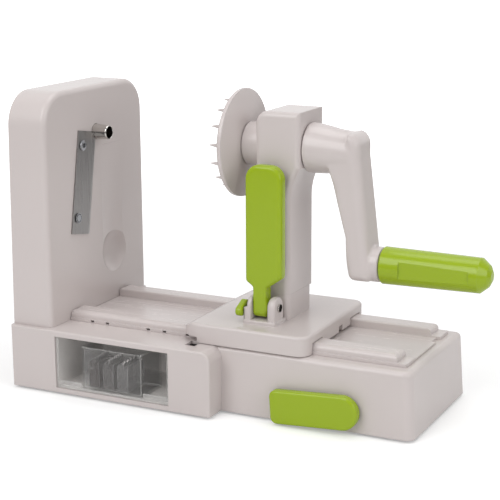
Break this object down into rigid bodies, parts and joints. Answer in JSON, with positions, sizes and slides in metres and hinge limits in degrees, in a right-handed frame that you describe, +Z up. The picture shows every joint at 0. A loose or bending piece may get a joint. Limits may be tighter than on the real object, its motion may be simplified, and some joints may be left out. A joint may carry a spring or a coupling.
{
  "type": "hand cranked spiralizer",
  "caption": "Hand cranked spiralizer with a blade tower, a sliding carriage that holds a crank and a spiked disk, a blade drawer in the base and a suction foot with lever.",
  "frame": {"origin": "on the ground under the middle of the base, straight below the crank axis", "axes": "+X along the base from the blade tower to the crank, -Y towards the side with the drawer and the levers, +Z up"},
  "size_m": [0.3556, 0.145, 0.2316],
  "materials": {
    "body_plastic": "satin",
    "plain_plastic": "satin",
    "green_plastic": "glossy",
    "clear_plastic": "clear",
    "dark_plastic": "satin",
    "blade_steel": "brushed",
    "bright_steel": "polished",
    "screw_steel": "satin",
    "foot_rubber": "matte",
    "cup_rubber": "matte"
  },
  "bodies": {
    "base": {"base_shell": "body_plastic", "base_plate": "plain_plastic", "base_screws": "screw_steel", "rubber_feet": "foot_rubber", "rail_deck": "body_plastic", "tower_shell": "body_plastic", "tower_screws": "screw_steel", "straight_blade": "blade_steel", "blade_screws": "screw_steel", "corer_tube": "bright_steel", "axle_bearings": "plain_plastic", "drawer_sleeve": "plain_plastic", "suction_cup": "cup_rubber"},
    "drawer": {"blade_drawer": "clear_plastic", "insert_box": "clear_plastic", "insert_frame_fine": "dark_plastic", "insert_teeth_fine": "blade_steel", "insert_frame_medium": "dark_plastic", "insert_teeth_medium": "blade_steel", "insert_frame_coarse": "dark_plastic", "insert_teeth_coarse": "blade_steel"},
    "carriage": {"carriage_body": "body_plastic", "carriage_shoes": "plain_plastic", "column_body": "body_plastic", "column_cover": "body_plastic", "column_screws": "screw_steel", "shaft_bushes": "plain_plastic"},
    "lever": {"push_lever": "green_plastic", "lever_pin": "bright_steel", "lock_pawl": "green_plastic"},
    "crank": {"crank_shaft": "bright_steel", "spiked_disk": "body_plastic", "disk_screw": "screw_steel", "crank_arm": "body_plastic", "grip_spindle": "bright_steel"},
    "grip": {"crank_grip": "green_plastic"},
    "suction_handle": {"suction_lever": "green_plastic", "suction_axle": "bright_steel"},
    "puller": {"suction_stem": "plain_plastic"}
  },
  "joints": [
    {"name": "carriage_slide", "type": "slide", "parent": "base", "child": "carriage", "axis": [1, 0, 0], "range_m": [-0.1, 0.06]},
    {"name": "crank_spin", "type": "hinge", "parent": "carriage", "child": "crank", "pos_m": [0, 0, 0.1916], "axis": [1, 0, 0], "continuous": true},
    {"name": "grip_spin", "type": "hinge", "parent": "crank", "child": "grip", "pos_m": [0.15, 0, 0.11], "axis": [1, 0, 0], "continuous": true},
    {"name": "lever_fold", "type": "hinge", "parent": "carriage", "child": "lever", "pos_m": [0.036, -0.031, 0.0774], "axis": [1, 0, 0], "range_deg": [0, 90]},
    {"name": "drawer_slide", "type": "slide", "parent": "base", "child": "drawer", "axis": [0, -1, 0], "range_m": [0, 0.06]},
    {"name": "suction_turn", "type": "hinge", "parent": "base", "child": "suction_handle", "pos_m": [0.1092, 0, 0.017], "axis": [0, 1, 0], "range_deg": [0, 90]},
    {"name": "suction_lift", "type": "slide", "parent": "base", "child": "puller", "axis": [0, 0, 1], "range_m": [-0.0031, 0], "deforming": ["suction_cup"]}
  ],
  "couplings": [
    {"joint": "suction_lift", "follows": "suction_turn", "m_per_rad": -0.0019099}
  ]
}
